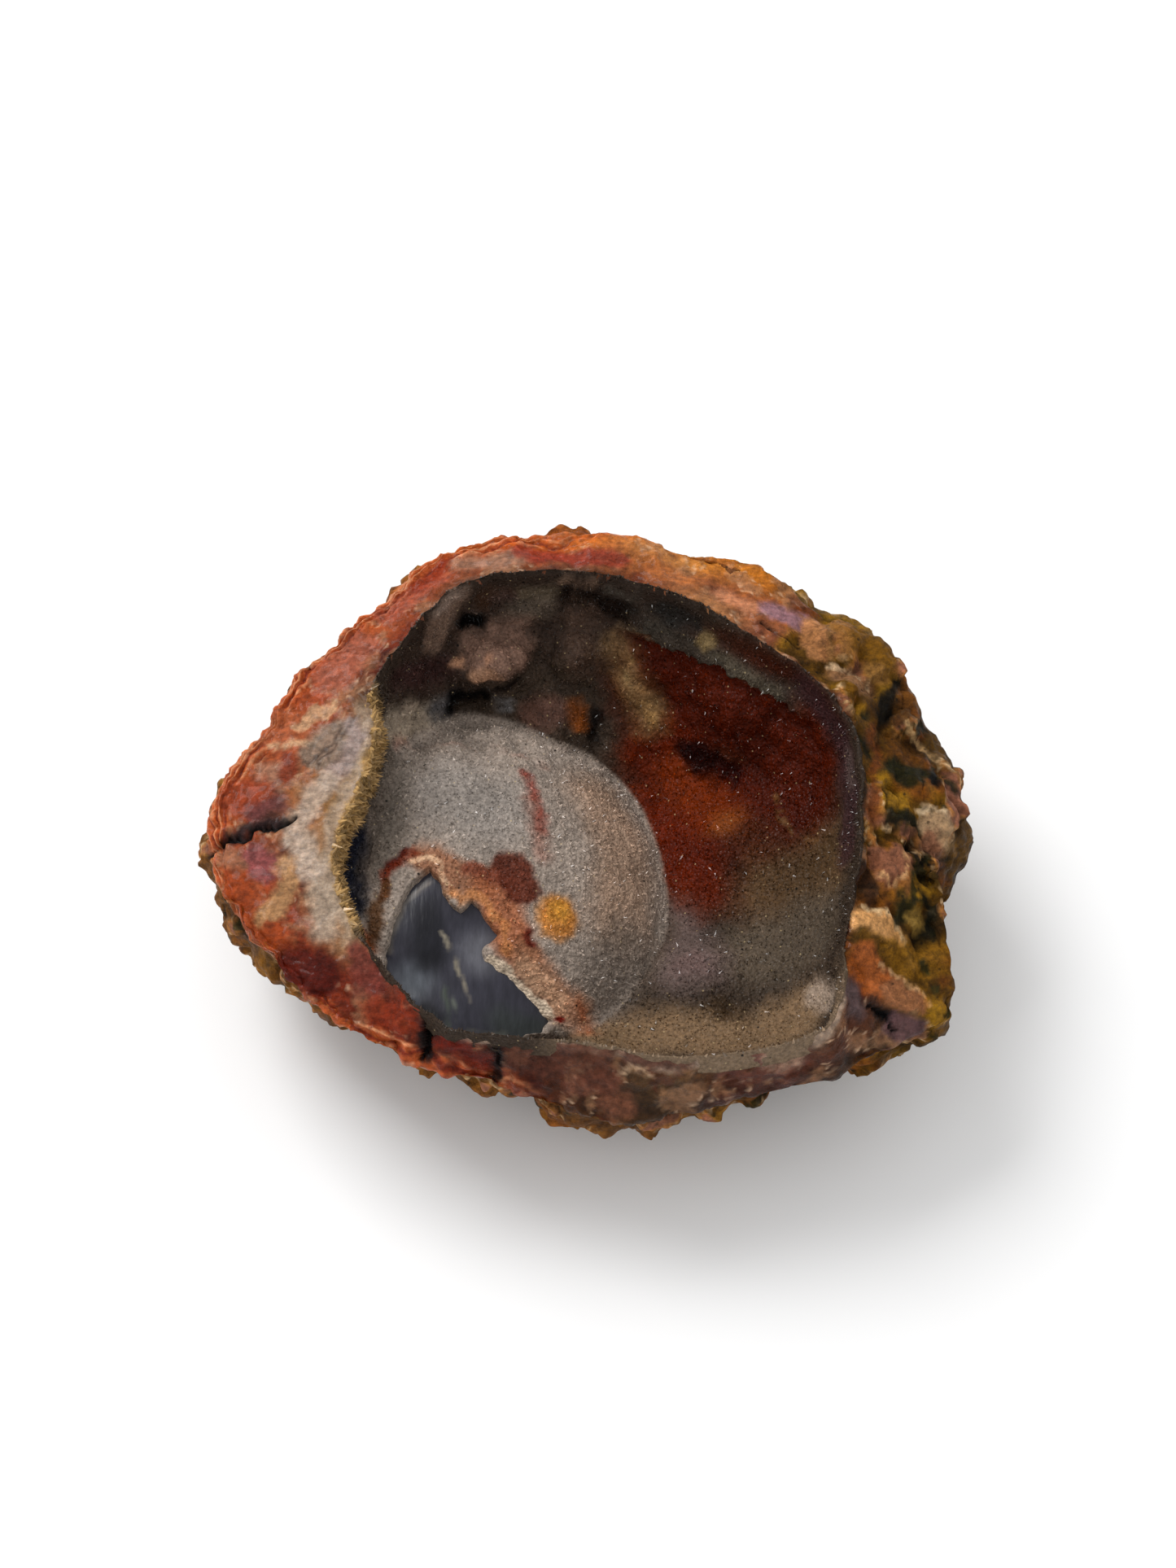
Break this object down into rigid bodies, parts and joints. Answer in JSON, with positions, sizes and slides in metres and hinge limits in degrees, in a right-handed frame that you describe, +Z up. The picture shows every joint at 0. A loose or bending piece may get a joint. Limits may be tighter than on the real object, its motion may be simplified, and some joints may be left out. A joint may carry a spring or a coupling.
{
  "type": "chalcedony stone",
  "caption": "Hand-sized half of a broken chalcedony nodule: knobbly weathered skin, waxy broken rim and a rounded hollow lined with fine quartz druse.",
  "frame": {"origin": "middle of the small flat spot under the stone, where it rests", "axes": "+Z up through the mouth of the hollow, +X along the stone's longest side, -Y towards the low side of the broken face"},
  "size_m": [0.0997, 0.0799, 0.0379],
  "materials": {
    "chalcedony": "satin"
  },
  "bodies": {
    "root": {"chalcedony_stone": "chalcedony"}
  },
  "joints": []
}
